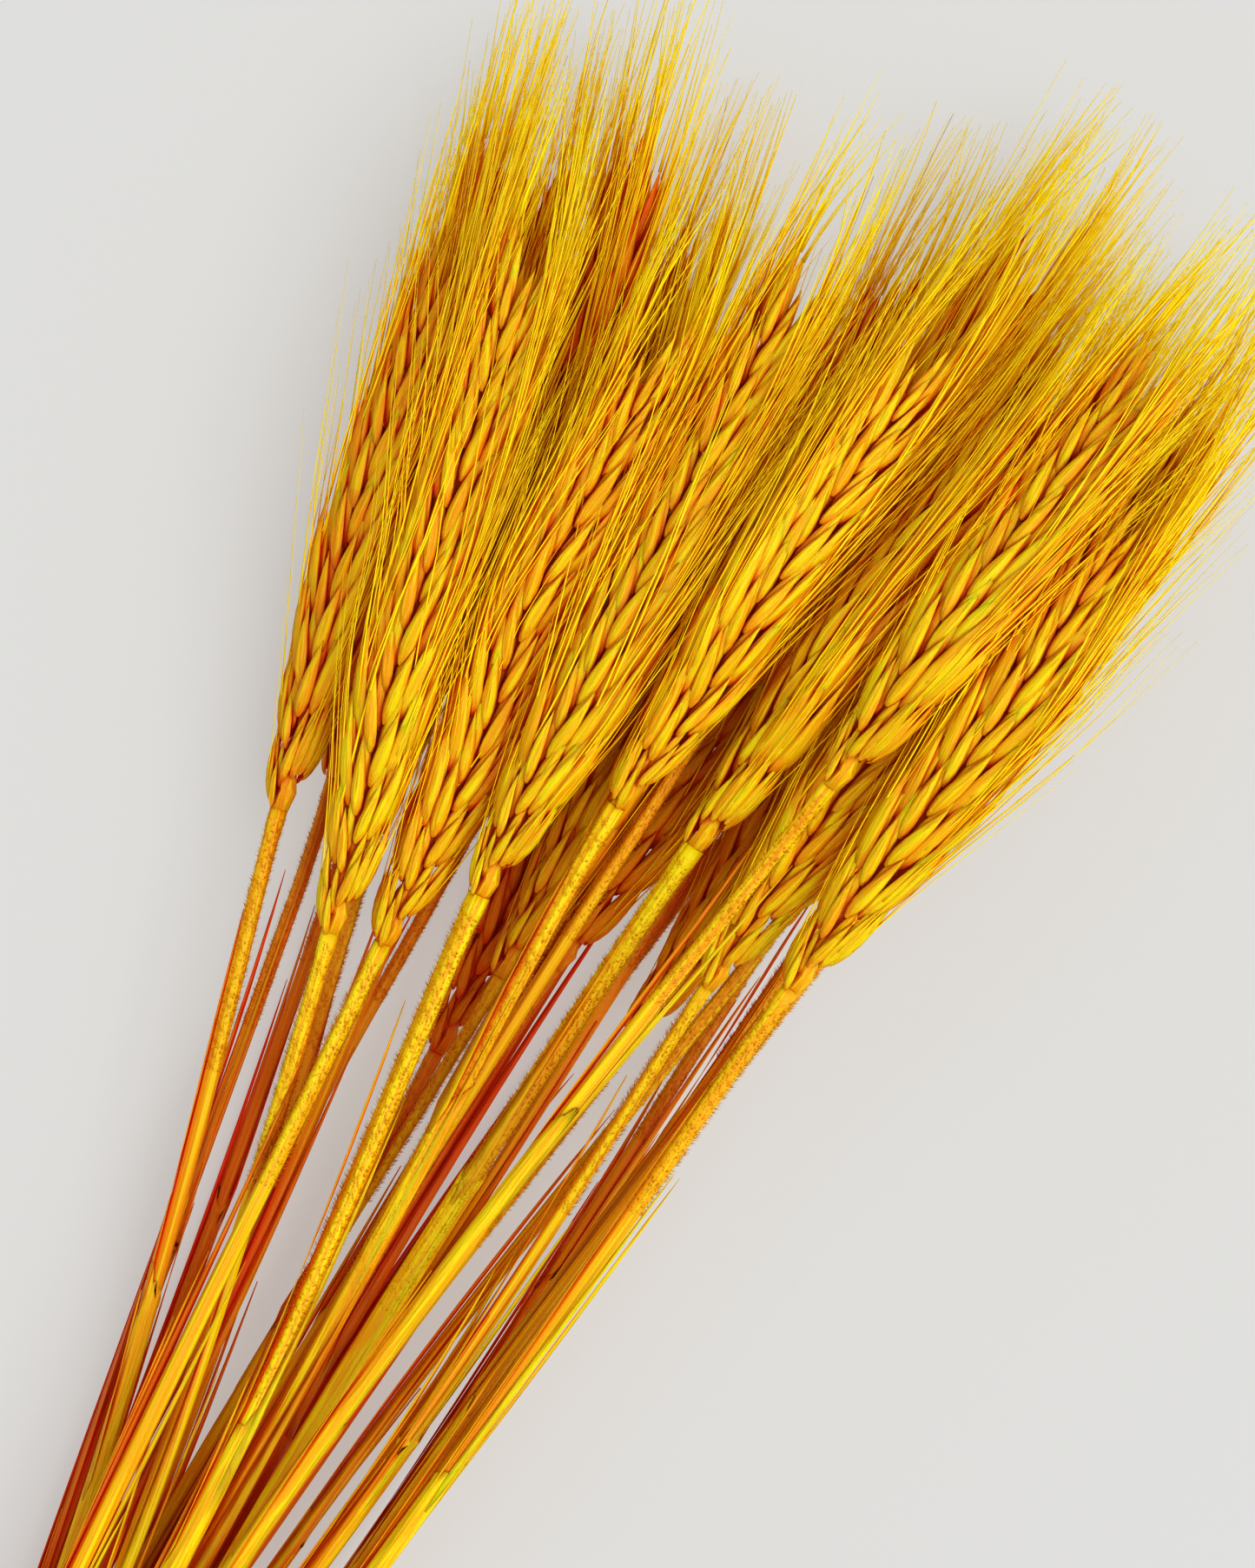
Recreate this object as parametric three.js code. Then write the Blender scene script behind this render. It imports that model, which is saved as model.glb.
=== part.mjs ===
// A bundle of dried bearded wheat, lying on its side as a tied sheaf does on a table.
// Units are millimetres and +Z is up. The stems run along +Y, from the cut ends to the ears, and the
// origin is under the middle of the bundle, on the surface that it lies on.
// Each stalk is two pieces, a stem and the ear with its beard of awns. One tie holds all the stems.
import * as THREE from "three";

// ---- Driving dimensions -----------------------------------------------------------------------
const TAIL = 108; // from the tie to the cut ends
const SLICE = 12; // spacing of the cross-sections in which the stalks settle
const GAP = 0.35; // air left between two neighbouring pieces
const EAR_HALF_WIDTH = 7.8; // across the two rows of spikelets
const EAR_FLATNESS = 0.74; // thickness of an ear over its width
const SHOULDER = 0.08; // where the foot of an ear rounds off, over its length
const BEARD = 36; // awns past the tip of the ear
const BEARD_HALF_WIDTH = 0.7; // where the longest awns end
const STEM_SIDES = 6;
const EAR_SIDES = 8;
const STEM_THICKENING = 1.2; // a stem with its sheath at the cut end, over the stem under the ear
const TIE = { halfWidth: 14.5, halfHeight: 10.4, length: 11, thickness: 2.2, sides: 28 };
const TIE_RISE = TIE.halfHeight + TIE.thickness + GAP; // the middle of the tie above the table
const LAYER = 10.5; // height from one layer of ears to the next, before they settle
const STEM_LAYER = 4; // the same at the tie
const MIDDLE_LAYER = 1.5; // the layer that is level with the middle of the tie
const PRESSED = 0.9; // how deep the lowest ears are pressed flat by the weight on them
const PINCH = 0.22; // how far off the axis a stem is at the tie, over how far off the foot of its ear is
const WANDER = 6; // how far a stem strays from that
const WANDER_TURN = 2.64; // radians from one stalk to the next, so that neighbours stray differently
const BOW = 5; // how far a stem bows to one side between the tie and its ear
const BOW_TURN = 3.99; // radians, as above
const FLARE = 0.45; // how much further off the axis the cut ends are than the stems in the tie
const UNEVEN_CUT = 6; // how far the cut ends are out of line
const SIDEWAYS = 0.5; // how far stalks that touch part sideways, over upwards

// Each stalk, in the order of its height in the pile:
// foot   how far the foot of the ear is off the bundle's axis
// tip    how far the tip of the ear is off the bundle's axis
// reach  from the tie to the foot of the ear
// ear    length of the ear without its awns
// layer  0 lies on the table and 3 is on top
// roll   turn of the ear about its own axis: 0 shows both rows of spikelets from above
// stem   diameter of the stem under the ear
const STALKS = [
  { foot: -7, tip: -6, reach: 196, ear: 108, layer: 3.2, roll: 24, stem: 3.5 },
  { foot: 19, tip: 33, reach: 218, ear: 82, layer: 3.2, roll: 62, stem: 3.3 },
  { foot: -16, tip: -21, reach: 182, ear: 103, layer: 3, roll: -12, stem: 3.2 },
  { foot: -24, tip: -45, reach: 180, ear: 105, layer: 2.7, roll: 8, stem: 3.0 },
  { foot: 33, tip: 46, reach: 236, ear: 78, layer: 3.4, roll: 30, stem: 2.6 },
  { foot: 42, tip: 55, reach: 206, ear: 90, layer: 2.5, roll: 14, stem: 3.1 },
  { foot: 5, tip: 16, reach: 218, ear: 84, layer: 2.6, roll: -20, stem: 3.3 },
  { foot: 26, tip: 34, reach: 188, ear: 88, layer: 2.4, roll: 66, stem: 2.9 },
  { foot: -41, tip: -55, reach: 193, ear: 86, layer: 1.4, roll: 35, stem: 2.7 },
  { foot: 12, tip: 22, reach: 238, ear: 80, layer: 2.2, roll: 50, stem: 2.6 },
  { foot: 47, tip: 59, reach: 224, ear: 88, layer: 1.4, roll: 55, stem: 2.8 },
  { foot: 31, tip: 41, reach: 200, ear: 84, layer: 1.8, roll: 5, stem: 2.7 },
  { foot: 9, tip: 18, reach: 191, ear: 86, layer: 1.4, roll: 20, stem: 2.6 },
  { foot: -35, tip: -58, reach: 201, ear: 96, layer: 1, roll: 70, stem: 2.4 },
  { foot: -20, tip: -38, reach: 222, ear: 88, layer: 1.6, roll: 60, stem: 2.5 },
  { foot: 14, tip: 23, reach: 246, ear: 78, layer: 1, roll: 10, stem: 2.4 },
  { foot: 22, tip: 30, reach: 238, ear: 80, layer: 1.2, roll: 75, stem: 2.5 },
  { foot: 44, tip: 53, reach: 232, ear: 80, layer: 1, roll: 25, stem: 2.4 },
  { foot: 39, tip: 43, reach: 220, ear: 84, layer: 1, roll: 80, stem: 2.4 },
  { foot: -7, tip: -18, reach: 199, ear: 88, layer: 1, roll: 80, stem: 2.4 },
  { foot: -1, tip: 0, reach: 170, ear: 86, layer: 0, roll: 15, stem: 2.5 },
  { foot: 3, tip: 5, reach: 186, ear: 88, layer: 0.6, roll: 55, stem: 2.5 },
  { foot: -27, tip: -43, reach: 203, ear: 86, layer: 0, roll: 50, stem: 2.4 },
  { foot: -12, tip: -24, reach: 214, ear: 90, layer: 0, roll: 40, stem: 2.3 },
  { foot: 7, tip: 8, reach: 228, ear: 84, layer: 0, roll: 45, stem: 2.4 },
  { foot: -33, tip: -53, reach: 214, ear: 88, layer: 0, roll: 20, stem: 2.3 },
  { foot: 24, tip: 37, reach: 222, ear: 84, layer: 0, roll: 30, stem: 2.4 },
  { foot: 37, tip: 52, reach: 214, ear: 84, layer: 0, roll: 70, stem: 2.3 },
];

// ---- One stalk --------------------------------------------------------------------------------
const radians = THREE.MathUtils.degToRad;

// Half the width of an ear, as a share of its widest, at a share of its length.
const earOutline = new THREE.SplineCurve([
  new THREE.Vector2(0, 0.24),
  new THREE.Vector2(SHOULDER, 0.66),
  new THREE.Vector2(0.22, 0.96),
  new THREE.Vector2(0.45, 1),
  new THREE.Vector2(0.72, 0.9),
  new THREE.Vector2(0.92, 0.7),
  new THREE.Vector2(1, 0.56),
]);

function measure(stalk, number) {
  const uneven = Math.sin(WANDER_TURN * number);
  const bow = BOW * Math.cos(BOW_TURN * number);
  const cut = -TAIL + UNEVEN_CUT * uneven;
  const top = stalk.reach + stalk.ear;
  const pinched = PINCH * stalk.foot + WANDER * uneven;
  return { ...stalk, cut, bow, pinched, top, end: top + BEARD, roll: radians(stalk.roll) };
}

const stemRadius = (s, y) =>
  (s.stem / 2) * THREE.MathUtils.mapLinear(y, s.cut, s.reach, STEM_THICKENING, 1);

function earHalfWidth(s, y) {
  const share = (y - s.reach) / s.ear;
  if (share <= 1) return EAR_HALF_WIDTH * earOutline.getPoint(share).y;
  const atTop = EAR_HALF_WIDTH * earOutline.getPoint(1).y;
  return THREE.MathUtils.mapLinear(y, s.top, s.end, atTop, BEARD_HALF_WIDTH);
}

// The half axes of a stalk's cross-section, or null where the stalk doesn't reach.
function section(s, y) {
  if (y < s.cut - SLICE || y > s.end + SLICE) return null;
  if (y < s.reach) return { wide: stemRadius(s, y), thin: stemRadius(s, y) };
  const wide = earHalfWidth(s, Math.min(y, s.end));
  return { wide, thin: wide * EAR_FLATNESS };
}

// How far the section reaches from its middle in a direction, given as an angle from +X.
function support(s, size, angle) {
  const turned = angle - s.roll;
  return Math.hypot(size.wide * Math.cos(turned), size.thin * Math.sin(turned));
}

// ---- Settling ---------------------------------------------------------------------------------
const stalks = STALKS.map(measure);
const levels = [];
for (let y = -TAIL - SLICE; y <= Math.max(...stalks.map((s) => s.end)) + SLICE; y += SLICE)
  levels.push(y);
const sizes = stalks.map((s) => levels.map((y) => section(s, y)));

// Where a stalk would run if it met no other: in a slight bow from the tie to the foot of its ear,
// and straight from there.
function guide(s, y) {
  if (y < 0) return s.pinched * (1 - (FLARE * y) / TAIL);
  const outward = (s.foot - s.pinched) / s.reach;
  if (y < s.reach) return s.pinched + outward * y + s.bow * Math.sin((Math.PI * y) / s.reach);
  return s.foot + ((s.tip - s.foot) / s.ear) * (y - s.reach);
}

const paths = stalks.map((s) =>
  levels.map((y) => {
    const spread = THREE.MathUtils.clamp(y / s.reach, 0, 1);
    const layer = THREE.MathUtils.lerp(STEM_LAYER, LAYER, spread);
    const high = TIE_RISE + (s.layer - MIDDLE_LAYER) * layer;
    return new THREE.Vector2(guide(s, y), high + spread * LAYER);
  }),
);

// Moves each point towards the middle of its neighbours, and each end into line with the next two.
function straighten(path, share) {
  for (let k = 1; k < path.length - 1; k++)
    path[k].lerp(path[k - 1].clone().add(path[k + 1]).multiplyScalar(0.5), share);
  for (const [end, next, third] of [path.slice(0, 3), path.slice(-3).reverse()])
    end.lerp(next.clone().multiplyScalar(2).sub(third), share);
}

function keepOffTable(s, size, at) {
  const pressed = PRESSED * Math.min(1, size.wide / EAR_HALF_WIDTH) ** 2;
  at.y = Math.max(at.y, support(s, size, -Math.PI / 2) - pressed);
}

function keepInTie(size, at) {
  const room = new THREE.Vector2(TIE.halfWidth - size.wide, TIE.halfHeight - size.wide);
  const share = Math.hypot(at.x / room.x, (at.y - TIE_RISE) / room.y);
  if (share > 1) at.set(at.x / share, TIE_RISE + (at.y - TIE_RISE) / share);
}

// The stalks fall into their order, then ease, and at last only those that still touch are parted.
const PHASES = [
  { passes: 600, stiffness: 0.5, hold: 0.2, fall: 0.3 },
  { passes: 200, stiffness: 0.1, hold: 0.05, fall: 0.02 },
  { passes: 150, stiffness: 0, hold: 0, fall: 0 },
];

const inEar = (stalk, k) => levels[k] > stalks[stalk].reach;

// Parts two stalks that touch. Ears part more upwards and downwards than sideways, as in a pile.
function part(one, other, k) {
  const apart = paths[other][k].clone().sub(paths[one][k]);
  const distance = apart.length();
  if (distance > 2 * EAR_HALF_WIDTH + GAP) return;
  const angle = Math.atan2(apart.y, apart.x);
  const least =
    support(stalks[one], sizes[one][k], angle) + support(stalks[other], sizes[other][k], angle) + GAP;
  if (distance >= least) return;
  if (inEar(one, k) || inEar(other, k)) apart.x *= SIDEWAYS;
  apart.setLength((least - distance) / 2);
  paths[one][k].sub(apart);
  paths[other][k].add(apart);
}

function settle({ passes, stiffness, hold, fall }) {
  for (let pass = 0; pass < passes; pass++) {
    stalks.forEach((s, i) => {
      straighten(paths[i].slice(...spans[i]), stiffness);
      levels.forEach((y, k) => {
        const at = paths[i][k];
        at.x += hold * (guide(s, y) - at.x);
        if (y > s.reach && y < s.top) at.y -= fall;
      });
    });
    levels.forEach((y, k) => {
      for (let i = 0; i < stalks.length; i++)
        for (let j = i + 1; j < stalks.length; j++)
          if (sizes[i][k] && sizes[j][k]) part(i, j, k);
      stalks.forEach((s, i) => {
        if (!sizes[i][k]) return;
        if (Math.abs(y) < TIE.length + SLICE / 2) keepInTie(sizes[i][k], paths[i][k]);
        keepOffTable(s, sizes[i][k], paths[i][k]);
      });
    });
  }
}

const spans = sizes.map((row) => [row.findIndex(Boolean), row.findLastIndex(Boolean) + 1]);
for (const phase of PHASES) settle(phase);

// ---- Solids -----------------------------------------------------------------------------------
function middleAt(i, y) {
  const place = (y - levels[0]) / SLICE;
  const k = THREE.MathUtils.clamp(Math.floor(place), 0, levels.length - 2);
  return paths[i][k].clone().lerp(paths[i][k + 1], place - k);
}

// Turns an outline round the Y axis, flattens and rolls it, and bends it along the stalk's path.
function along(i, outline, sides, flatness, roll) {
  const geometry = new THREE.LatheGeometry(outline, sides, Math.PI / sides);
  const at = geometry.attributes.position;
  const c = Math.cos(roll);
  const s = Math.sin(roll);
  for (let v = 0; v < at.count; v++) {
    const middle = middleAt(i, at.getY(v));
    const wide = at.getX(v);
    const thin = at.getZ(v) * flatness;
    at.setX(v, middle.x + wide * c - thin * s);
    at.setZ(v, Math.max(0, middle.y + wide * s + thin * c));
  }
  return geometry;
}

// An outline from y to y, closed on the axis at both ends, with its sections on the given levels.
function outlineOf(radius, ys) {
  const points = ys.map((y) => new THREE.Vector2(radius(y), y));
  return [new THREE.Vector2(0, ys[0]), ...points, new THREE.Vector2(0, ys.at(-1))];
}

// Every so many of the levels between two heights, and all of them next to the tie.
const levelsBetween = (low, high, every) =>
  levels
    .filter((y, k) => k % every === 0 || Math.abs(y) <= SLICE)
    .filter((y) => y > low + SLICE / 3 && y < high - SLICE / 3);

const straw = new THREE.MeshStandardMaterial({ color: 0xe8b400, roughness: 0.6, metalness: 0 });
const husk = new THREE.MeshStandardMaterial({ color: 0xf2c400, roughness: 0.55, metalness: 0 });
const jute = new THREE.MeshStandardMaterial({ color: 0xb08d57, roughness: 0.9, metalness: 0 });

function stem(i) {
  const s = stalks[i];
  const top = s.reach - GAP / 2;
  const ys = [s.cut, ...levelsBetween(s.cut, top, 2), top];
  const outline = outlineOf((y) => stemRadius(s, y), ys);
  return new THREE.Mesh(along(i, outline, STEM_SIDES, 1, 0), straw);
}

function ear(i) {
  const s = stalks[i];
  const foot = s.reach + GAP / 2;
  const shoulder = s.reach + SHOULDER * s.ear;
  const ys = [foot, shoulder, ...levelsBetween(shoulder, s.end, 1), s.end];
  const outline = outlineOf((y) => earHalfWidth(s, y), ys);
  return new THREE.Mesh(along(i, outline, EAR_SIDES, EAR_FLATNESS, s.roll), husk);
}

function tie() {
  const inner = TIE.halfWidth + GAP;
  const outer = inner + TIE.thickness;
  const half = TIE.length / 2;
  const bulge = TIE.thickness / 3;
  const profile = [
    [inner, -half],
    [outer - bulge, -half],
    [outer, -half + bulge],
    [outer, half - bulge],
    [outer - bulge, half],
    [inner, half],
    [inner, -half],
  ].map(([r, y]) => new THREE.Vector2(r, y));
  const geometry = new THREE.LatheGeometry(profile, TIE.sides, Math.PI / TIE.sides);
  const height = (TIE.halfHeight + GAP + TIE.thickness) / outer;
  geometry.scale(1, 1, height).translate(0, 0, TIE_RISE);
  return new THREE.Mesh(geometry, jute);
}

// ---- The bundle -------------------------------------------------------------------------------
const bundle = new THREE.Group();
const pieces = new THREE.Group();
bundle.add(pieces);
stalks.forEach((s, i) => {
  const number = String(i + 1).padStart(2, "0");
  const made = { ["stem_" + number]: stem(i), ["ear_" + number]: ear(i) };
  for (const [name, mesh] of Object.entries(made)) {
    mesh.name = name;
    pieces.add(mesh);
  }
});
const band = tie();
band.name = "tie";
pieces.add(band);

// The origin goes under the middle of the box round the whole bundle.
const box = new THREE.Box3().setFromObject(pieces);
const middle = box.getCenter(new THREE.Vector3());
pieces.position.set(-middle.x, -middle.y, -box.min.z);

export default bundle;
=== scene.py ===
# %% [markdown]
# # A bundle of dried wheat
# This lesson dresses a plain model of a wheat bundle in what the eye sees on the real one: husks with
# fine veins, long bristly awns, downy straw with torn leaf sheaths, and a twine tie. The plain model,
# called the frame, says where every stalk lies. It has one rod for each stem and one spindle for each
# ear, and the script reads the middle line of each stalk from them, so nothing is placed by hand.

# %% Load the frame
import math
import random

import bmesh
import bpy
import numpy as np
from mathutils import Euler, Matrix, Vector


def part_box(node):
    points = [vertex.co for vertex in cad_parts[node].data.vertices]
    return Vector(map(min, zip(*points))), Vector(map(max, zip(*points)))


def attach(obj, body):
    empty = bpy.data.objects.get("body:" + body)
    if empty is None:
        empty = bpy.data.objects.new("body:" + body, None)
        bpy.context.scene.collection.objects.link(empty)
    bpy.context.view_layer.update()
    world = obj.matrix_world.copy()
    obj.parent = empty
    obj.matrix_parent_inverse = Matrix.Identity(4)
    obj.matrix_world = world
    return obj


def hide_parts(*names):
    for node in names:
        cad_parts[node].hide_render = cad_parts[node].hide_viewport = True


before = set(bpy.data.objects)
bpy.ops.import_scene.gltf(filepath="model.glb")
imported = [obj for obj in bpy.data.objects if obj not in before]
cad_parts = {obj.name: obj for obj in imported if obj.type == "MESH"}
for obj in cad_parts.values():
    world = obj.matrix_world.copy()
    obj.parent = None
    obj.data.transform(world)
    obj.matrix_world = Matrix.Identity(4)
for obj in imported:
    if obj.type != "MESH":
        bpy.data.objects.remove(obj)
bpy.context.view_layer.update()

MM = 0.001
chance = random.Random(11)
numbers = sorted(name[-2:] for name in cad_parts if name.startswith("ear_"))


def jitter(amount):
    return chance.uniform(-amount, amount)


def radians_turn(axis, degrees):
    """A rotation matrix round X, Y or Z."""
    return Matrix.Rotation(math.radians(degrees), 4, axis)


# %% [markdown]
# ## Where each stalk runs
# A plant part is easiest to model straight, lying along Y, and to bend into place at the end. So the
# first step finds the line to bend it along. Each rod of the frame is a stack of cross-sections at
# given places along Y. The middle of each section is a point of the line, and a smooth curve goes
# through the points. An ear is flat, and the direction in which its section is widest tells how the
# ear is turned. Turning the numbers of a whole mesh at once with numpy is much faster than a loop.


# %% Read the middle line of a stalk
def sections(node):
    """The cross-sections of a frame node, each as an array of points, from the cut end up."""
    places = np.array([v.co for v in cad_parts[node].data.vertices])
    heights = np.round(places[:, 1] / MM, 2)
    return [places[heights == height] for height in np.unique(heights)]


def middle(section):
    return (section.min(0) + section.max(0)) / 2


def widest_direction(section):
    """The angle, from X towards Z, at which a section is widest."""
    flat = section[:, [0, 2]] - middle(section)[[0, 2]]
    values, axes = np.linalg.eigh(flat.T @ flat)
    across = axes[:, 1] * np.sign(axes[0, 1])
    return math.atan2(across[1], across[0])


class Stalk:
    """One stalk of the bundle: its sizes, and the line it follows."""

    def __init__(self, number):
        stem = sections("stem_" + number)
        ear = sections("ear_" + number)
        self.number = number
        self.cut = middle(stem[0])[1]
        self.foot = middle(ear[0])[1]
        self.end = middle(ear[-1])[1]
        self.neck_radius = np.ptp(stem[-2][:, 2]) / 2
        self.cut_radius = np.ptp(stem[0][:, 2]) / 2
        self.turn = widest_direction(ear[len(ear) // 3])
        self.height = middle(ear[len(ear) // 3])[2]
        self.knots = np.array([middle(s) for s in stem[:-1] + ear])

    def line(self, y):
        """Points of the middle line at each y, and its direction there."""
        knots = self.knots
        slopes = np.gradient(knots, knots[:, 1], axis=0)
        inside = np.clip(y, knots[0, 1], knots[-1, 1])
        i = np.clip(np.searchsorted(knots[:, 1], inside) - 1, 0, len(knots) - 2)
        step = (knots[i + 1, 1] - knots[i, 1])[:, None]
        t = (inside[:, None] - knots[i, 1][:, None]) / step
        start, end = knots[i], knots[i + 1]
        leave, arrive = slopes[i] * step, slopes[i + 1] * step
        points = (
            (2 * t**3 - 3 * t**2 + 1) * start
            + (t**3 - 2 * t**2 + t) * leave
            + (3 * t**2 - 2 * t**3) * end
            + (t**3 - t**2) * arrive
        )
        direction = slopes[i] * (1 - t) + slopes[i + 1] * t
        return points + direction * (y - inside)[:, None], direction

    def bend(self, places):
        """Moves straight places, with the ear's foot at the origin, to where the stalk has them."""
        points, direction = self.line(places[:, 1] + self.foot)
        along = direction / np.linalg.norm(direction, axis=1)[:, None]
        across = np.array([math.cos(self.turn), 0, math.sin(self.turn)])
        across = across - (along @ across)[:, None] * along
        across /= np.linalg.norm(across, axis=1)[:, None]
        out = np.cross(across, along)
        return points + across * places[:, [0]] + out * places[:, [2]]


stalks = [Stalk(number) for number in numbers]
ear_lengths = [round((s.end - s.foot) / MM) for s in stalks]
print("from the foot of an ear to the end of its beard:", min(ear_lengths), "to", max(ear_lengths), "mm")

# %% [markdown]
# ## From a straight shape to a finished piece
# Everything below goes through one door. It takes a straight bmesh, bends the mesh, keeps it above the
# table, and hands it over as an object. Three attributes go with the points, and the materials read
# them. The attribute `grain` is where each point was before the bend, so a fibre pattern can run along
# a curved stalk, which plain object coordinates can't do. `tone` is a number from 0 to 1 that differs
# from husk to husk, as dye takes differently. `depth` is high where the colour is deepest: at the knots
# and in withered blades, and as painted shade where husks overlap at their feet, in the grooves of the
# twine and on the stalks that lie low in the bundle.
# The table is handled gently: heights under a millimetre or two are squeezed into what is left
# above zero, as husks are that are pressed flat, instead of being cut off.

# %% Helpers that make pieces
PRESS = 1.6 * MM  # heights below this are squeezed


def press(heights):
    return np.where(heights < PRESS, PRESS * np.exp(heights / PRESS - 1), heights)


def fibre_attributes(bm):
    """Gives a straight bmesh its grain, tone and depth."""
    grain = bm.verts.layers.float_vector.get("grain") or bm.verts.layers.float_vector.new("grain")
    for v in bm.verts:
        v[grain] = v.co
    for name in ("tone", "depth"):
        if name not in bm.verts.layers.float.keys():
            bm.verts.layers.float.new(name)
    return bm


def as_template(bm, name):
    """A small mesh that is copied many times. Its grain is its own, so it moves with each copy."""
    fibre_attributes(bm)
    mesh = bpy.data.meshes.new(name)
    bm.to_mesh(mesh)
    bm.free()
    return mesh


def add_copy(bm, template, place, tone=None):
    """Adds a copy of a template to bm, placed by a matrix, with a tone of its own."""
    copy = template.copy()
    copy.transform(place)
    if tone is not None:
        copy.attributes["tone"].data.foreach_set("value", [tone] * len(copy.vertices))
    bm.from_mesh(copy)
    bpy.data.meshes.remove(copy)


def piece(bm, name, material, stalk=None, replaces=()):
    """Turns a bmesh into a piece of the bundle, bent along its stalk."""
    mesh = bpy.data.meshes.new(name)
    for face in bm.faces:
        face.smooth = True
    bm.to_mesh(mesh)
    bm.free()
    if stalk:
        places = np.empty(len(mesh.vertices) * 3)
        mesh.vertices.foreach_get("co", places)
        bent = stalk.bend(places.reshape(-1, 3))
        bent[:, 2] = press(bent[:, 2])
        mesh.vertices.foreach_set("co", bent.ravel())
        mesh.update()
    made = bpy.data.objects.new(name, mesh)
    bpy.context.scene.collection.objects.link(made)
    made.data.materials.append(material)
    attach(made, "root")
    if replaces:
        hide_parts(*replaces)
    return made


def rod(radius, start, end, sides, spacing):
    """A straight closed rod along Y, with a ring of points every so far."""
    bm = bmesh.new()
    to_place = Matrix.Translation((0, (start + end) / 2, 0)) @ radians_turn("X", -90)
    bmesh.ops.create_cone(
        bm, cap_ends=True, segments=sides, radius1=radius, radius2=radius, depth=end - start,
        matrix=to_place,
    )
    long_edges = [e for e in bm.edges if abs(e.verts[0].co.y - e.verts[1].co.y) > (end - start) / 2]
    rings = max(1, round((end - start) / spacing) - 1)
    bmesh.ops.subdivide_edges(bm, edges=long_edges, cuts=rings, use_grid_fill=True)
    return bm


def bell(y, at, width):
    """1 at a place, and falling to 0 over a width on both sides."""
    return math.exp(-(((y - at) / width) ** 2))


# %% [markdown]
# ## Dyed straw
# Dried wheat is preserved in glycerine and dyed in a hot acid dye. The dye takes blue out of the light
# completely and a little of the green, and leaves all of the red. That is why a lit husk is bright
# yellow and the gaps between husks glow orange and then deep red: each time that light bounces from
# husk to husk it loses more green. A base colour with almost no blue does much of that by itself.
# The husks are also thin. Red light goes through them further than green, which subsurface scattering
# gives, with a radius of a millimetre for red and a fraction of that for green.
# The awns are thinner still, and light goes on from one to the next until the whole tuft glows. A rod
# with three sides is too thin to scatter light inside, so a faint, warm emission stands for it. Husks
# and straw pass less light on, and it comes out a deeper orange in the gaps between them.
# The veins are long and thin, so a noise pattern is squeezed across the stalk and stretched along it.
# Real veins are 0.2 mm apart. They are drawn three or four times as coarse, so that they still show from
# half a metre away. The pattern drives both a fine bump and the small changes of colour.
# The colour also deepens where pieces are close to each other: this is painted shade in the narrow gaps.
# An ambient occlusion node measures that: it says how much of the open air a point sees.


# %% A small kit for materials
def linear(hex_colour):
    """An sRGB hex value as the linear colour that a shader needs."""
    parts = [int(hex_colour[i : i + 2], 16) / 255 for i in (1, 3, 5)]
    return [c / 12.92 if c <= 0.04045 else ((c + 0.055) / 1.055) ** 2.4 for c in parts] + [1]


def add_node(tree, kind, inputs, **settings):
    """Adds a node. inputs maps a socket's name or number to a value or to another node's output."""
    node = tree.nodes.new("ShaderNode" + kind)
    for name, value in settings.items():
        setattr(node, name, value)
    for socket, value in inputs.items():
        if isinstance(value, bpy.types.NodeSocket):
            tree.links.new(value, node.inputs[socket])
        else:
            node.inputs[socket].default_value = value
    return node


def new_material(name, roughness):
    material = bpy.data.materials.new(name)
    material.use_nodes = True
    tree = material.node_tree
    shader = tree.nodes["Principled BSDF"]
    shader.inputs["Roughness"].default_value = roughness
    shader.inputs["IOR"].default_value = 1.45
    return material, tree, shader


PAINTED_SHADE_REACH = 5 * MM  # painted shade: the colour deepens where pieces are closer to each other than this
FROM_VEINS = 0.7  # how far the veins take the colour from middling to pale
FROM_TONE = 0.35  # how far the tone of a single husk or stem takes it
VEIN_HEIGHT = 0.6 * MM
THINNESS = 0.35  # share of the light that goes into a husk or a straw and comes out elsewhere


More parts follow.
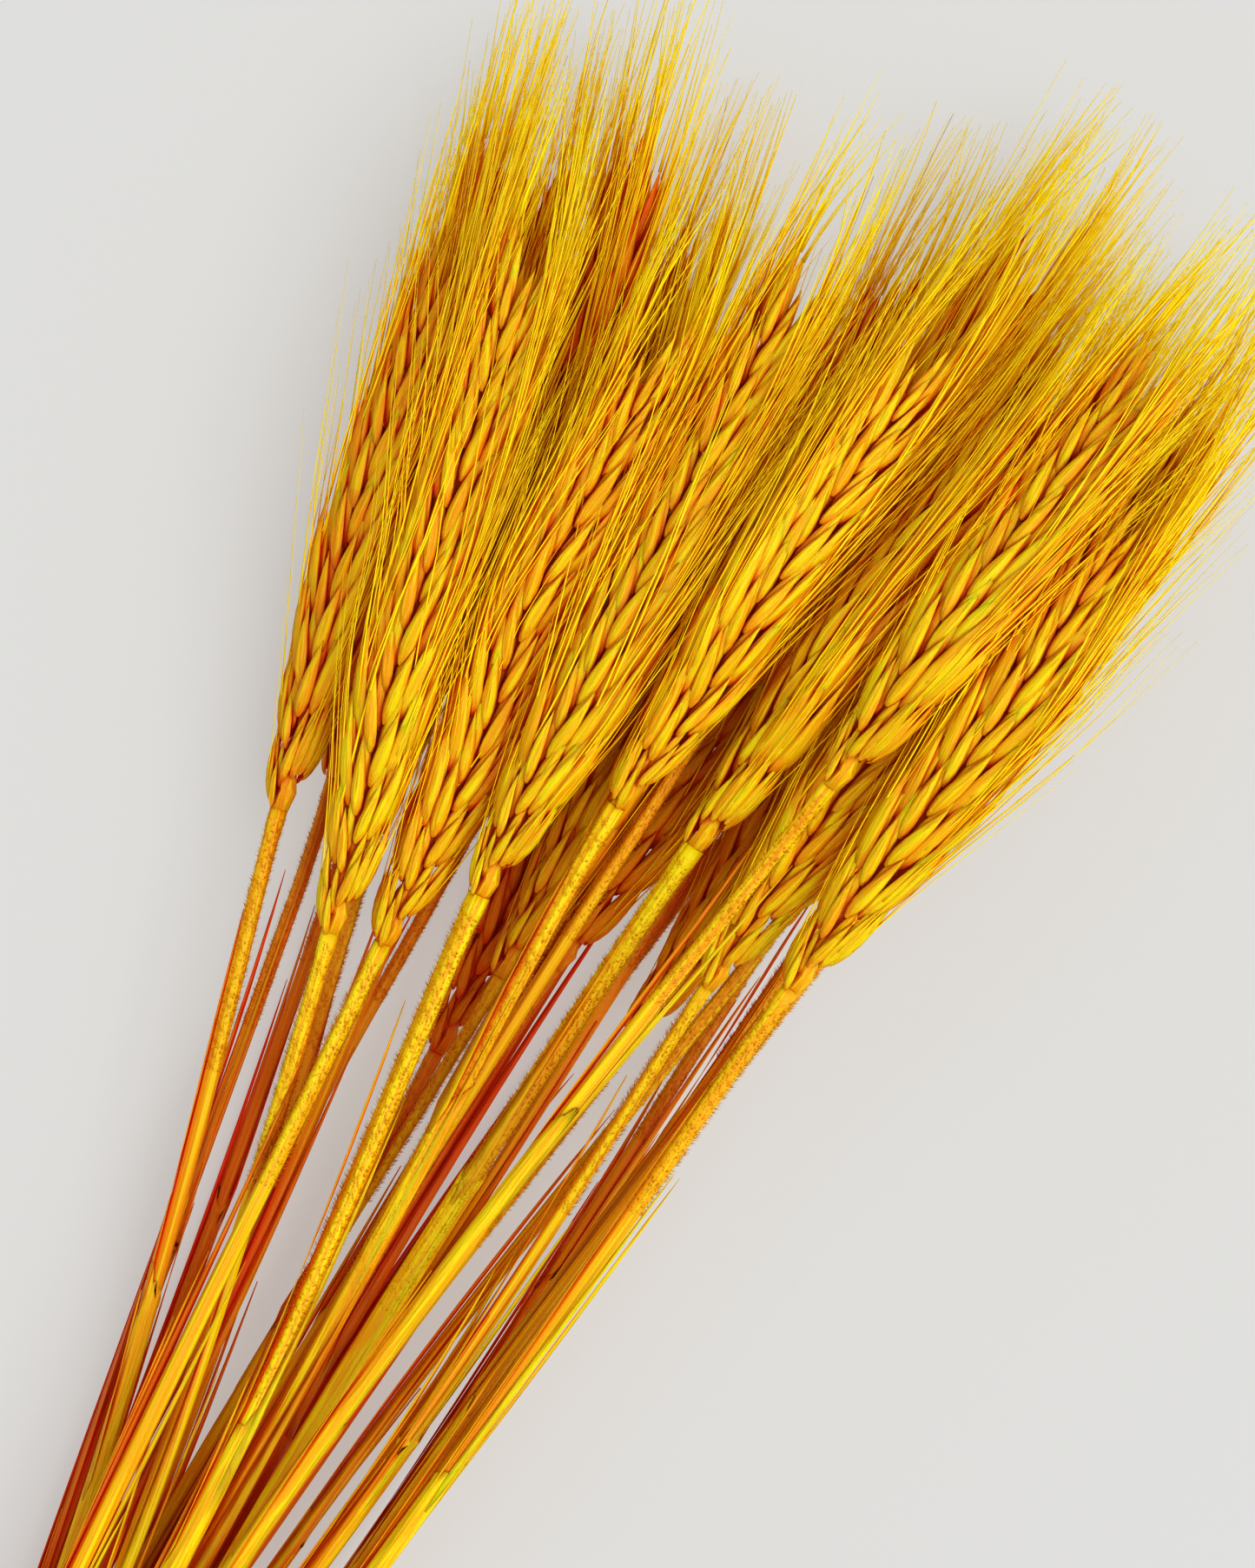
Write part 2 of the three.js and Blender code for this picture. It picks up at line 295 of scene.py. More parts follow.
def fibre_material(
    name, pale, middling, deep_dye_and_shade, roughness, across, along, bump, glow=0.0, passed_on=None
):
    """Dyed plant fibre. Veins run with the grain, across by along metres in size. They and the tone
    go from middling to pale, and the depth attribute and the painted shade in narrow gaps go on from
    there to deep_dye_and_shade. glow is how far light gets into it, in metres, and passed_on the
    colour and strength of the light from its neighbours."""
    material, tree, shader = new_material(name, roughness)
    grain = add_node(tree, "Attribute", {}, attribute_name="grain").outputs["Vector"]
    tone = add_node(tree, "Attribute", {}, attribute_name="tone").outputs["Fac"]
    depth = add_node(tree, "Attribute", {}, attribute_name="depth").outputs["Fac"]
    own_place = add_node(tree, "CombineXYZ", {0: tone, 1: tone, 2: tone})
    apart = add_node(tree, "VectorMath", {0: own_place.outputs[0], 1: grain}, operation="ADD")
    scaled = add_node(
        tree, "VectorMath", {0: apart.outputs[0], 1: (across, along, across)}, operation="DIVIDE"
    )
    veins = add_node(tree, "TexNoise", {"Vector": scaled.outputs[0], "Scale": 1.0, "Detail": 3.0})
    sharp = {"Value": veins.outputs["Fac"], "From Min": 0.43, "From Max": 0.57}
    spread = add_node(tree, "MapRange", sharp)
    from_veins = add_node(tree, "Math", {0: spread.outputs[0], 1: FROM_VEINS}, operation="MULTIPLY")
    both = {0: tone, 1: FROM_TONE, 2: from_veins.outputs[0]}
    lighter = add_node(tree, "Math", both, operation="MULTIPLY_ADD", use_clamp=True)
    lit = add_node(
        tree, "Mix", {0: lighter.outputs[0], 6: linear(middling), 7: linear(pale)}, data_type="RGBA"
    )
    # Painted shade in narrow gaps: the less open air the AO node sees, the more the colour goes to the
    # deep one.
    open_air = add_node(tree, "AmbientOcclusion", {"Distance": PAINTED_SHADE_REACH}, samples=4)
    narrow = {"Value": open_air.outputs["AO"], "From Min": 0.8, "From Max": 0.15, "To Max": 0.9}
    painted_crevice_shade = add_node(tree, "MapRange", narrow)
    dye_and_painted_shade = add_node(tree, "Math", {0: depth, 1: painted_crevice_shade.outputs[0]}, operation="ADD", use_clamp=True)
    colour = add_node(
        tree, "Mix", {0: dye_and_painted_shade.outputs[0], 6: lit.outputs[2], 7: linear(deep_dye_and_shade)}, data_type="RGBA"
    )
    tree.links.new(colour.outputs[2], shader.inputs["Base Color"])
    relief = add_node(
        tree, "Bump", {"Height": veins.outputs["Fac"], "Strength": bump, "Distance": VEIN_HEIGHT}
    )
    tree.links.new(relief.outputs["Normal"], shader.inputs["Normal"])
    if glow:
        shader.inputs["Subsurface Weight"].default_value = THINNESS
        shader.inputs["Subsurface Radius"].default_value = (1.0, 0.3, 0.02)
        shader.inputs["Subsurface Scale"].default_value = glow
    if passed_on:
        tint, strength = passed_on
        shader.inputs["Emission Color"].default_value = linear(tint)
        shader.inputs["Emission Strength"].default_value = strength
    return material


# %% Mix the dyed fibres
# Straw has a waxy skin over its ribs, which gives a soft sheen and lines as long as the stem.
straw = fibre_material(
    "dyed wheat straw", "#f4e600", "#eea800", "#dc3800", 0.5, 0.9 * MM, 60 * MM, 1.0, 1.2 * MM,
    ("#ff8c00", 0.01),
)
# Chaff, the stuff of husks and leaves, is thin, dry and papery: nearly matt, and light shows through.
chaff = fibre_material(
    "dyed papery chaff", "#f4e200", "#f0b000", "#e03800", 0.55, 0.7 * MM, 14 * MM, 1.0, 1 * MM,
    ("#ff9600", 0.014),
)
# An awn is hard and smooth like a quill. It catches the light in a thin line, and stays palest.
bristle = fibre_material(
    "dyed awn bristle", "#fff600", "#ffea00", "#f48c00", 0.42, 0.3 * MM, 12 * MM, 0.2, 0.0,
    ("#ffcc00", 0.05),
)
# Jute is soaked, combed and spun, and not dyed here: matt, with painted shade where its strands meet.
jute = fibre_material("jute twine", "#e2c896", "#bd9a62", "#8c6c42", 0.85, 0.18 * MM, 1.6 * MM, 1.0)
print("mixed", ", ".join(material.name for material in (straw, chaff, bristle, jute)))

# %% [markdown]
# ## One husk
# A husk of wheat is a stiff, boat-shaped leaf that wraps a grain. Its back is rounded with a sharp
# keel, its foot is blunt, and its tip is drawn out to a long point. It could be cut from a thin sheet,
# but hundreds of thin sheets show gaps and cost many faces, so each husk is closed: a sphere with few
# faces, drawn out along Y, flattened, and bowed so that its middle stands out. The width follows a
# power of the distance from each end, which gives the blunt foot and the long point.
# Two husks are needed. The outer one, the glume, is narrow and sharply keeled. The lemma is longer and
# broader, and carries the awn.

# %% Make the husk templates
HUSK_SIDES = 8
HUSK_RINGS = 9
FOOT_BLUNTNESS = 0.55
PAINTED_FOOT_SHADE, FOOT_SHADE_SHARE = 0.3, 0.25  # painted shade: the colour deepens over this share of a husk, at its foot, where husks overlap


def husk(length, width, thickness, keel, bow, fullest):
    """A closed husk from the origin along +Y, with its back towards +Z."""
    point_bluntness = FOOT_BLUNTNESS * (1 - fullest) / fullest
    most = fullest**FOOT_BLUNTNESS * (1 - fullest) ** point_bluntness
    bm = bmesh.new()
    bmesh.ops.create_uvsphere(bm, u_segments=HUSK_SIDES, v_segments=HUSK_RINGS, radius=1)
    bmesh.ops.rotate(bm, verts=bm.verts, matrix=radians_turn("X", -90).to_3x3())
    depth = bm.verts.layers.float.new("depth")
    for v in bm.verts:
        share = min(max((v.co.y + 1) / 2, 0), 1)
        ring = math.hypot(v.co.x, v.co.z)
        side, back = (v.co.x / ring, v.co.z / ring) if ring > 1e-6 else (0, 0)
        full = share**FOOT_BLUNTNESS * (1 - share) ** point_bluntness / most
        v.co.x = side * full * width / 2
        lift = full * thickness / 2 * back * (1 + keel * max(0, back) ** 6)
        v.co.y = share * length
        v.co.z = lift + bow * math.sin(math.pi * share)
        # painted shade at the foot of each husk
        v[depth] = PAINTED_FOOT_SHADE * max(0, 1 - share / FOOT_SHADE_SHARE)
    return bm


GLUME_LENGTH = 13 * MM
LEMMA_LENGTH = 17 * MM
glume = as_template(husk(GLUME_LENGTH, 2.4 * MM, 0.9 * MM, 1.6, 0.4 * MM, 0.34), "glume")
lemma = as_template(husk(LEMMA_LENGTH, 2.8 * MM, 1.0 * MM, 1.4, 0.5 * MM, 0.34), "lemma")
print("a glume has", len(glume.polygons), "faces")

# %% [markdown]
# ## One awn
# An awn is the stiff bristle that a lemma's tip grows into. On bearded wheat it is 40 to 70 mm long
# and about half a millimetre thick at its foot, and it tapers to nothing. It isn't quite straight. A
# hair system could draw them, but then they wouldn't be solid pieces that can be kept as a mesh, so
# each is a rod with three sides, tapered and bowed. A few bows, turned and stretched, do for all.

# %% Make the awn templates
AWN_RADIUS = 0.3 * MM
AWN_LENGTH = 50 * MM
AWN_RINGS = 8
AWN_TAPER = 0.86  # share of its thickness that an awn has lost at its tip


def awn(bow, wave):
    """A bristle from the origin along +Y. bow and wave say how far it leaves a straight line."""
    bm = rod(AWN_RADIUS, 0, AWN_LENGTH, 3, AWN_LENGTH / AWN_RINGS)
    for v in bm.verts:
        share = min(max(v.co.y / AWN_LENGTH, 0), 1)
        taper = 1 - AWN_TAPER * share**0.8
        v.co.x = v.co.x * taper + bow * share**2 + wave * math.sin(5 * share)
        v.co.z = v.co.z * taper + wave * math.sin(3 * share)
    return bm


BOWS = ((-1, 0.4), (-2.5, 0.3), (-4, -0.4), (1.5, 0.5), (-3, 0.2))
awns = [as_template(awn(bow * MM, wave * MM), "awn") for bow, wave in BOWS]
print("an awn has", len(awns[0].polygons), "faces, and there are", len(awns), "to choose from")

# %% [markdown]
# ## An ear
# The ear has a core, the rachis, that steps left and right. On each step sits a spikelet, so the
# spikelets stand in two rows. One spikelet has two glumes, one to the front and one to the back, and
# between them a fan of lemmas. Seen from the front, the two rows close like a plait, and seen from the
# side, the fans stack up. Modelling the botany, and not the plait, gives both views for free.
# The table says how each husk of a spikelet stands. Nature repeats that, smaller at the ear's foot and
# tip. The awns leave the tips of the lemmas almost along the ear. Hundreds of single directions would
# look like fur, but real awns catch on each other and lie in locks. So each run of a few spikelets
# shares a lean, and each awn adds a little of its own. A finer bristle lies along the back of each
# lemma, which closes the sides of the ear into bands of fine lines.

# %% Build the ears
SPIKELET_STEP = 4.7 * MM  # along the ear, from one spikelet to the next on the other side
LOCK = 5  # spikelets whose awns lie together
STRAYS = 0.12  # share of awns that stick out of their lock
BEARD = 36 * MM  # the frame's spindles go on this far past the last husk
CORE = 1.5 * MM  # radius of the rachis
CORE_STEP = 0.7 * MM  # how far the rachis steps to each side
TIP_OF_LEMMA = 0.93  # share of a lemma's length at which its awn starts
BACK_OF_LEMMA = (0.3 * LEMMA_LENGTH, 1.25 * MM)  # where its finer bristle starts, along and above it
BEARD_SHADE_SHARE = 0.2  # share of an ear's painted shade that its awns get
LOWEST_PAINTED_SHADE = 0.7  # painted shade on a stalk that lies on the table, lowest in the bundle
UNSHADED_HEIGHT = 0.6  # share of the bundle's height above which a stalk gets no painted shade
HUSKS = (
    # husk, its foot outwards, up and to the front (mm), its lean outwards and to the front and the
    # turn of its back from the front towards the outside (degrees), its size, and its awn's length
    (glume, (0.5, 0.0, 2.7), 9, 4, 14, 1.0, 0),
    (glume, (0.5, 0.0, -2.7), 9, -4, 166, 1.0, 0),
    (lemma, (2.1, 0.8, 1.6), 11, 3, 45, 1.08, 1.0),
    (lemma, (2.1, 0.8, -1.6), 11, -3, 135, 1.08, 0.97),
    (lemma, (2.9, 1.5, 0.7), 9, 2, 70, 1.12, 0.92),
    (lemma, (2.9, 1.5, -0.7), 9, -2, 110, 1.12, 0.95),
    (lemma, (2.6, 4.2, 1.4), 9, 4, 55, 1.0, 0.9),
    (lemma, (0.8, 3.2, 2.1), 7, 5, 20, 0.85, 0),
)


def husk_place(side, foot, outwards, front, turn, size):
    """The matrix that sets a husk on the left (-1) or right (1) side of a straight ear."""
    out, up, ahead = foot
    position = Matrix.Translation((side * out * size * MM, up * MM, ahead * size * MM))
    lean = radians_turn("Z", -side * outwards) @ radians_turn("X", front)
    return position @ lean @ radians_turn("Y", side * turn) @ Matrix.Scale(size, 4)


def awn_place(place, side, outwards, front, size, lock, reach):
    """The matrix that sets an awn on the tip of a lemma."""
    tip = place @ Vector((0, LEMMA_LENGTH * TIP_OF_LEMMA, 0))
    stray = 3 if chance.random() < STRAYS else 1
    lean_out = outwards * 0.16 + jitter(3.5) * stray
    lean_front = front + jitter(1.8) * stray
    inwards = 0 if side > 0 else 180
    return (
        Matrix.Translation(tip)
        @ radians_turn("Z", -side * lean_out + lock[0])
        @ radians_turn("X", lean_front + lock[1])
        @ radians_turn("Y", inwards + jitter(50))
        @ Matrix.Diagonal((size, reach, size, 1))
    )


def rib_place(reach):
    """The matrix that lays a finer bristle on the back of a lemma, along its keel and past its tip."""
    return (
        Matrix.Translation((jitter(0.5) * MM, *BACK_OF_LEMMA))
        @ radians_turn("Z", jitter(3.5))
        @ radians_turn("Y", chance.uniform(0, 360))
        @ Matrix.Diagonal((0.6, reach * 0.75, 0.6, 1))
    )


def ear_pieces(stalk, painted_shade):
    """The husks and the awns of one ear. painted_shade adds painted shade to its depth, for an ear low in
    the bundle.
    """
    length = stalk.end - BEARD - stalk.foot
    count = round((length - 3 * MM) / SPIKELET_STEP) - 1
    core = rod(CORE, 0, length - 8 * MM, 6, 3 * MM)
    for v in core.verts:
        v.co.x += CORE_STEP * math.sin(math.pi * v.co.y / SPIKELET_STEP)
    husks = fibre_attributes(core)
    bristles = bmesh.new()
    tallest = chance.uniform(0.95, 1.08)
    for k in range(count):
        share = k / (count - 1)
        size = 0.6 + 0.4 * min(1, share * 5) - 0.2 * max(0, share - 0.75) / 0.25
        side = 1 if k % 2 else -1
        closing = 0.4 if k == count - 1 else 1
        if k % LOCK == 0:
            lock = (jitter(2.4), jitter(2))
        step = Matrix.Translation((0, k * SPIKELET_STEP + jitter(0.4) * MM, 0))
        for template, foot, outwards, front, turn, scale, awn_share in HUSKS:
            lean = outwards * closing + jitter(2)
            scaled = size * scale * (1 + jitter(0.06))
            place = step @ husk_place(side, foot, lean, front + jitter(1.5), turn + jitter(6), scaled)
            add_copy(husks, template, place, chance.random())
            if awn_share:
                reach = (1.55 - 1.0 * share) * tallest * awn_share * chance.uniform(0.82, 1.08)
                grow = awn_place(place, side, lean, front, chance.uniform(0.8, 1.1), lock, reach)
                add_copy(bristles, chance.choice(awns), grow, chance.random())
                add_copy(bristles, chance.choice(awns), place @ rib_place(reach), chance.random())
    # Painted shade for an ear low in the bundle, on its husks and, by a smaller share, on its awns.
    for bm, share in ((husks, 1), (bristles, BEARD_SHADE_SHARE)):
        depth = bm.verts.layers.float["depth"]
        for v in bm.verts:
            v[depth] = min(1, v[depth] + painted_shade * share)
    number = stalk.number
    piece(husks, "husks_" + number, chaff, stalk, ["ear_" + number])
    piece(bristles, "awns_" + number, bristle, stalk)
    return count


# Painted shade: a stalk that lies lower in the bundle, and so more in its shade, gets a deeper, redder
# colour.
unshaded_height = UNSHADED_HEIGHT * max(stalk.height for stalk in stalks)
painted_shade_at = {s.number: LOWEST_PAINTED_SHADE * max(0, 1 - s.height / unshaded_height) for s in stalks}
spikelets = [ear_pieces(stalk, painted_shade_at[stalk.number]) for stalk in stalks]
print("the ears have", min(spikelets), "to", max(spikelets), "spikelets each")

# %% [markdown]
# ## The straw
# A stem of straw is a hollow tube with a solid knot every hand's width, where a leaf grew. Just under
# the ear it ends in a small collar. Dried straw isn't round: it shrinks between its ribs. The tube is
# a rod with many rings. Each ring is made thicker at the knots and the collar, and a little oval and
# ribbed, in a way that turns slowly along the stem. The cut end is inset and pushed in, because a cut
# straw shows its hole.

# %% Build the stems
HOLE_DEPTH = 8 * MM
STRAW_SIDES = 16
KNOT_DYE = 0.5


def stem_thickness(stalk, y):
    """Radius of a straight stem at y, where 0 is the foot of the ear."""
    grown = 1 + (stalk.cut_radius / stalk.neck_radius - 1) * y / (stalk.cut - stalk.foot)
    swollen = sum(0.16 * bell(y, at, 1.8 * MM) for at in stalk.joints)
    waist = sum(0.1 * bell(y, at + 3 * MM, 1.5 * MM) for at in stalk.joints)
    collar = 0.3 * bell(y, -0.8 * MM, 1.2 * MM) + 0.12 * bell(y, -3 * MM, 1 * MM)
    return stalk.neck_radius * 0.97 * (grown + swollen - waist + collar)


def shrink(bm, stalk, thickness, phase):
    """Gives a rod of radius 1 its thickness along the stem, oval and ribbed."""
    for v in bm.verts:
        around = math.atan2(v.co.z, v.co.x)
        twist = v.co.y / (60 * MM) + phase
        uneven = 1 + 0.07 * math.cos(2 * around + twist) + 0.05 * math.cos(4 * around - twist)
        reach = math.hypot(v.co.x, v.co.z) * thickness(stalk, v.co.y) * uneven
        v.co.x, v.co.z = reach * math.cos(around), reach * math.sin(around)


def stem_piece(stalk):
    start = stalk.cut - stalk.foot
    stalk.joints = [-chance.uniform(140, 185) * MM, -chance.uniform(235, 265) * MM]
    bm = rod(1, start, 0.3 * MM, STRAW_SIDES, 2.5 * MM)
    cut_face = min(bm.faces, key=lambda face: face.calc_center_median().y)
    bmesh.ops.inset_individual(bm, faces=[cut_face], thickness=0.3)
    bottom = bmesh.ops.extrude_discrete_faces(bm, faces=[cut_face])["faces"][0]
    bmesh.ops.translate(bm, verts=bottom.verts, vec=(0, HOLE_DEPTH, 0))
    shrink(bm, stalk, stem_thickness, chance.uniform(0, 6))
    bmesh.ops.remove_doubles(bm, verts=bm.verts, dist=0.001 * MM)
    bmesh.ops.recalc_face_normals(bm, faces=bm.faces)
    fibre_attributes(bm)
    tone = bm.verts.layers.float["tone"]
    depth = bm.verts.layers.float["depth"]
    shade = chance.uniform(0.1, 1)
    for v in bm.verts:
        v[tone] = shade
        near_knot = sum(bell(v.co.y, at, 2 * MM) for at in stalk.joints)
        # The colour is deeper at the knots, and a stalk low in the bundle also gets painted shade.
        v[depth] = min(1, painted_shade_at[stalk.number] + KNOT_DYE * near_knot)
    return piece(bm, "straw_" + stalk.number, straw, stalk, ["stem_" + stalk.number])


for stalk in stalks:
    stem_piece(stalk)
print("the stems are", round(min(s.neck_radius for s in stalks) * 2 / MM, 1), "mm thick and more")

# %% [markdown]
# ## Leaf sheaths
# A wheat leaf starts at a knot and wraps the stem as a papery sheath before it stands off as a blade.
# When the stalks are picked the blades are torn off, and what stays is the sheath, with a ragged end
# and strips that peel away. A sheath is a second rod, a quarter of a millimetre outside the stem,
# because only its outside and its torn edge show. The edge is made by pulling the points of the top
# ring up and down by random amounts. The strips are copies of a few thin, tapered, curled ribbons.
# Where a blade wasn't torn off it has withered, and lies folded along the stem. It is the same ribbon,
# wider and longer, with a deeper colour: partly the withered leaf's own, and partly painted shade between
# the stems.

# %% Build the sheaths
SHEATH = 0.22 * MM  # thickness
STRIP_LENGTH = 30 * MM
STRIP_WIDTH = 1.7 * MM
STRIP_THICKNESS = 0.07 * MM
STRIP_TWIST = 1.6  # radians over its length
FOLDED_DYE_AND_SHADE = 0.4  # how much deeper a withered blade's colour is: partly its own, partly painted shade between the stems
TORN_SLANT, TORN_TEETH = 3, 1.4  # mm up and down, round the top edge of a sheath


def strip(curl, withered_and_shade):
    """A torn ribbon from the origin along +Y that leaves the stem towards +X."""
    bm = rod(1, 0, STRIP_LENGTH, 4, STRIP_LENGTH / 9)
    depth = bm.verts.layers.float.new("depth")
    bmesh.ops.rotate(bm, verts=bm.verts, matrix=radians_turn("Y", 45).to_3x3())
    for v in bm.verts:
        share = min(max(v.co.y / STRIP_LENGTH, 0), 1)
        taper = ((1 - share) ** 0.6 + 0.06) * min(1, 0.2 + share / 0.12)
        turn = STRIP_TWIST * share
        wide, thin = v.co.z * taper * STRIP_WIDTH / 2, v.co.x * STRIP_THICKNESS
        v.co.x = thin * math.cos(turn) - wide * math.sin(turn) + curl * share**2
        v.co.z = thin * math.sin(turn) + wide * math.cos(turn)
        # the colour deepens towards the blade's tip: partly withering, partly painted shade
        v[depth] = withered_and_shade * (0.4 + 0.6 * share)
    return bm


strips = [as_template(strip(curl * MM, 0), "strip") for curl in (0.3, 0.8, 1.8)]
blades = [as_template(strip(curl * MM, FOLDED_DYE_AND_SHADE), "blade") for curl in (-0.4, 0.5, 1.4)]


def add_ribbon(bm, stalk, template, y, size):
    """Starts a ribbon on the sheath at y. size is its length and width as shares of the template's."""
    out = Matrix.Translation((stem_thickness(stalk, y) + SHEATH / 2, y, 0))
    lean = radians_turn("Z", -chance.uniform(0.1, 0.8))
    place = radians_turn("Y", chance.uniform(0, 360)) @ out @ lean @ Matrix.Diagonal((1, *size, 1))
    add_copy(bm, template, place, chance.random())


def sheath_piece(stalk):
    bm = bmesh.new()
    bottoms = stalk.joints
    tops = [-chance.uniform(45, 125) * MM, stalk.joints[0] + jitter(8) * MM]
    for low, top in zip(bottoms, tops):
        wrap = rod(1, low, top, STRAW_SIDES, 3 * MM)
        shrink(wrap, stalk, lambda s, y: stem_thickness(s, y) + SHEATH, chance.uniform(0, 6))
        slant = chance.uniform(0, 6)
        for v in wrap.verts:
            if v.co.y > top - 0.1 * MM:
                around = math.atan2(v.co.z, v.co.x)
                v.co.y += (TORN_SLANT * math.cos(around + slant) + jitter(TORN_TEETH)) * MM
                v.co.x *= 1.06
                v.co.z *= 1.06
        fibre_attributes(wrap)
        tone = wrap.verts.layers.float["tone"]
        shade = chance.uniform(0.3, 1)
        for v in wrap.verts:
            v[tone] = shade
        mesh = bpy.data.meshes.new("wrap")
        wrap.to_mesh(mesh)
        wrap.free()
        bm.from_mesh(mesh)
        bpy.data.meshes.remove(mesh)
        for _ in range(chance.choice((2, 3, 4))):
            size = (chance.uniform(0.6, 2.6), chance.uniform(0.5, 1.3))
            add_ribbon(bm, stalk, chance.choice(strips), top - chance.uniform(0, 45) * MM, size)
        for y in (top - 6 * MM, low + chance.uniform(5, 30) * MM):
            size = (min(chance.uniform(2.2, 3.6), -0.8 * y / STRIP_LENGTH), chance.uniform(1.5, 2.6))
            add_ribbon(bm, stalk, chance.choice(blades), y, size)
    # Painted shade for a stalk that lies low in the bundle.
    depth = bm.verts.layers.float["depth"]
    for v in bm.verts:
        v[depth] = min(1, v[depth] + painted_shade_at[stalk.number])
    return piece(bm, "sheath_" + stalk.number, chaff, stalk)


sheaths = [sheath_piece(stalk) for stalk in stalks]
print("a sheath with its strips has", len(sheaths[0].data.polygons), "faces")

# %% [markdown]
# ## The down on the neck
# Under the ear the straw is downy. The hairs are under a millimetre long, so what shows is a soft edge
# and a velvety tone. Placing thousands of hairs one by one is slow. A short band of hairs, made once,
# is copied along the neck instead, each time turned by a random amount, so that no pattern shows.

# %% Build the down
HAIR_LENGTH = 0.65 * MM
BAND = 2 * MM
BAND_HAIRS = 80
HAIR_RADIUS = 0.045 * MM
THICK_NECK = 1.4 * MM  # necks thicker than this are downy further down
LONG_DOWN, SHORT_DOWN = 85 * MM, 40 * MM


def hair_band():
    """A band of hairs round a neck of radius 1 mm, as long as BAND. It is scaled to each neck."""
    spike = bmesh.new()
    bmesh.ops.create_cone(
        spike, cap_ends=True, segments=3, radius1=HAIR_RADIUS, radius2=0, depth=HAIR_LENGTH,
        matrix=Matrix.Translation((0, 0, HAIR_LENGTH / 2)),
    )
    one = as_template(spike, "hair")
    band = bmesh.new()
    for _ in range(BAND_HAIRS):
        out = Matrix.Translation((0, chance.uniform(0, BAND), MM))
        lean = Euler((math.radians(chance.uniform(-65, -25)), math.radians(jitter(25)), 0))
        place = radians_turn("Y", chance.uniform(0, 360)) @ out @ lean.to_matrix().to_4x4()
        add_copy(band, one, place, chance.random())
    return as_template(band, "hair_band")


band_template = hair_band()


def down_piece(stalk):
    radius = stalk.neck_radius
    length = LONG_DOWN if radius > THICK_NECK else SHORT_DOWN
    bm = bmesh.new()
    for k in range(int(length / BAND)):
        y = -1.5 * MM - (k + 1) * BAND
        grow = Matrix.Diagonal((radius / MM, 1, radius / MM, 1))
        add_copy(bm, band_template, Matrix.Translation((0, y, 0)) @ radians_turn("Y", jitter(180)) @ grow)
    return piece(bm, "down_" + stalk.number, straw, stalk)


downs = [down_piece(stalk) for stalk in stalks]
print("the longest down has", max(len(down.data.polygons) for down in downs), "faces")

# %% [markdown]
# ## The tie
# A sheaf is tied with a few turns of twine. Twine is two or three strands twisted together, and the
# twist is what one sees, so the section of the rod has three lobes that turn as it goes along. The
# turns lie side by side round the stems. The plain band of the frame gives their place and size.

# %% Wind the twine
TWINE = 1.15 * MM  # radius
LAY = 4.2 * MM  # length in which the strands twist round once
low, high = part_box("tie")
tie_middle = (low + high) / 2
turns = int((high.y - low.y) / (2 * TWINE))
wide = (high.x - low.x) / 2 - TWINE
tall = (high.z - low.z) / 2 - TWINE
one_turn = math.pi * (wide + tall)


def wind(y):
    """The point of the wound twine at a length y from its start, and how far out it points there."""
    angle = 2 * math.pi * y / one_turn
    rise = low.y + TWINE + 2 * TWINE * y / one_turn
    out = Vector((math.sin(angle) / wide, 0, -math.cos(angle) / tall)).normalized()
    aside, above = wide * math.sin(angle), -tall * math.cos(angle)
    return Vector((tie_middle.x + aside, rise, tie_middle.z + above)), out


def twine_piece():
    length = (turns - 1) * one_turn + 6 * MM
    bm = fibre_attributes(rod(TWINE, 0, length, 12, 1.0 * MM))
    depth = bm.verts.layers.float["depth"]
    for v in bm.verts:
        x, y, z = v.co
        around = math.atan2(z, x)
        lobe = abs(math.cos(1.5 * (around - 2 * math.pi * y / LAY)))
        # Painted shade in the grooves between the strands.
        v[depth] = 1 - lobe
        reach = math.hypot(x, z) * (0.72 + 0.28 * lobe)
        point, out = wind(y)
        v.co = point + out * reach * math.cos(around) + Vector((0, 1, 0)) * reach * math.sin(around)
        v.co.z = max(v.co.z, 0.1 * MM)
    bmesh.ops.recalc_face_normals(bm, faces=bm.faces)
    return piece(bm, "twine", jute, replaces=["tie"])


twine_piece()
print(turns - 1, "turns of twine,", round((turns - 1) * one_turn / MM), "mm long in all")

# %% [markdown]
# ## Table, light and camera
# The bundle lies on a plain pale surface. A big soft light stands to its right, so one side of each
# stalk is bright and the other turns orange, and a pale sky fills the shadows. The surface is backlit a
# little, like a light table, which keeps the shadows between the stalks pale. The camera looks straight
# down and is turned so that the stalks lean to the right. A long lens keeps the ears on top, which are
# nearer, from looking too big. The dye is strong, so the view is given a little more contrast.

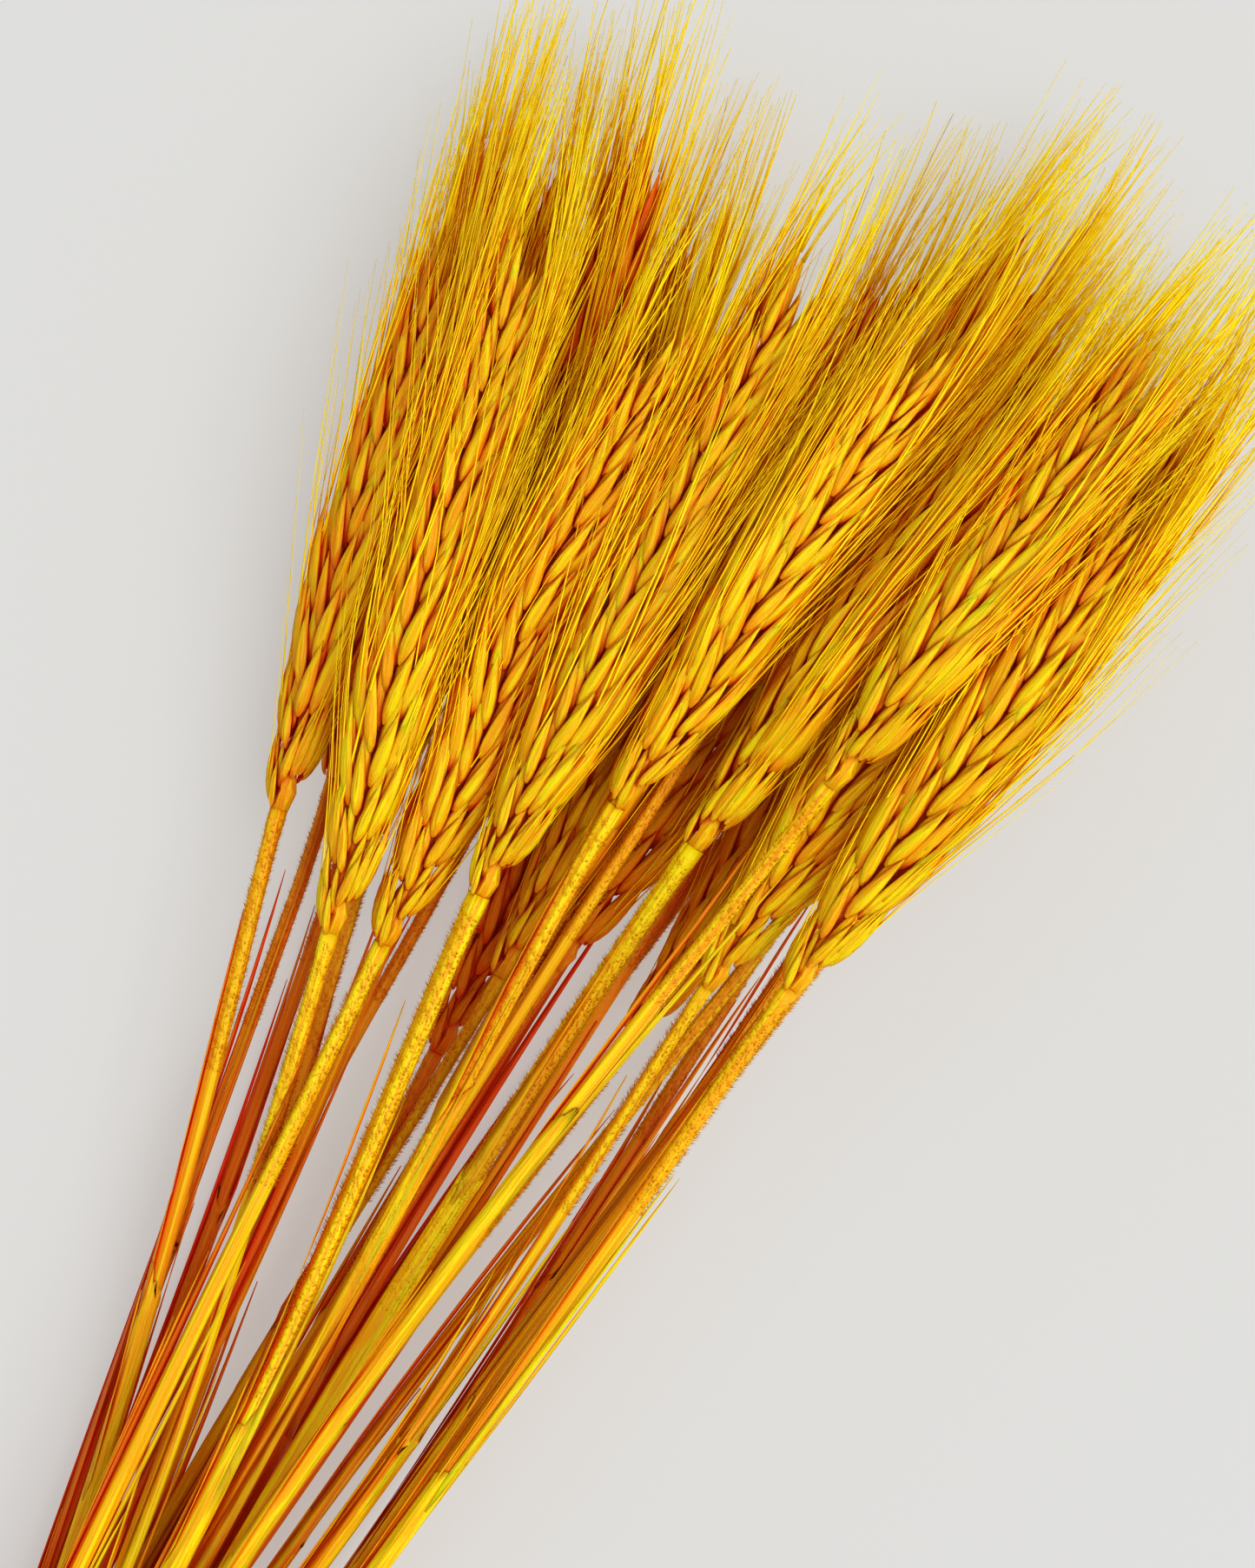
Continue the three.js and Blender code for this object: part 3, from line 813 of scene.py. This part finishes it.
# %% Lay the table
PALE = "#8a8b87"  # looks paler than this, because the backlight adds to it
BACKLIGHT = 0.34
bm = bmesh.new()
bmesh.ops.create_grid(bm, x_segments=1, y_segments=1, size=3)
table_mesh = bpy.data.meshes.new("table")
bm.to_mesh(table_mesh)
bm.free()
table = bpy.data.objects.new("table", table_mesh)
bpy.context.scene.collection.objects.link(table)
paper, paper_tree, paper_shader = new_material("matt pale paper", 0.9)
paper_shader.inputs["Base Color"].default_value = linear(PALE)
paper_shader.inputs["Emission Color"].default_value = linear("#fdfbf8")
paper_shader.inputs["Emission Strength"].default_value = BACKLIGHT
table.data.materials.append(paper)

# %% Place the camera
TURN = math.radians(28)
AHEAD = 222.2 * MM  # from the tie to the middle of the view
ASIDE = 5.9 * MM
AIM_HEIGHT = 20 * MM
DISTANCE = 576 * MM
camera = bpy.data.objects.new("camera", bpy.data.cameras.new("camera"))
bpy.context.scene.collection.objects.link(camera)
camera.data.lens = 85
camera.location = (tie_middle.x + ASIDE, tie_middle.y + AHEAD, AIM_HEIGHT + DISTANCE)
camera.rotation_euler = (0, 0, TURN)
camera.data.clip_start = 0.01
bpy.context.scene.camera = camera
print("the camera is", round(camera.location.z / MM), "mm above the table")

# %% Set the lights
view_right = Vector((math.cos(TURN), math.sin(TURN), 0))
view_up = Vector((-math.sin(TURN), math.cos(TURN), 0))
aim = Vector((camera.location.x, camera.location.y, 0))


def soft_light(name, right, up, height, size, power, colour):
    """A square light aimed at the middle of the view, placed by the view's own directions."""
    light = bpy.data.objects.new(name, bpy.data.lights.new(name, "AREA"))
    bpy.context.scene.collection.objects.link(light)
    light.location = aim + view_right * right + view_up * up + Vector((0, 0, height))
    light.rotation_euler = (aim - light.location).to_track_quat("-Z", "Y").to_euler()
    light.data.size = size
    light.data.energy = power
    light.data.color = linear(colour)[:3]
    return light


soft_light("window", 1.3, -0.4, 2.5, 2.2, 39.5, "#fbfaff")
world = bpy.data.worlds.new("pale sky")
bpy.context.scene.world = world
world.use_nodes = True
world.node_tree.nodes["Background"].inputs["Color"].default_value = linear("#f4f6ff")
world.node_tree.nodes["Background"].inputs["Strength"].default_value = 0.5
bpy.context.scene.view_settings.view_transform = "Standard"
bpy.context.scene.view_settings.look = "High Contrast"
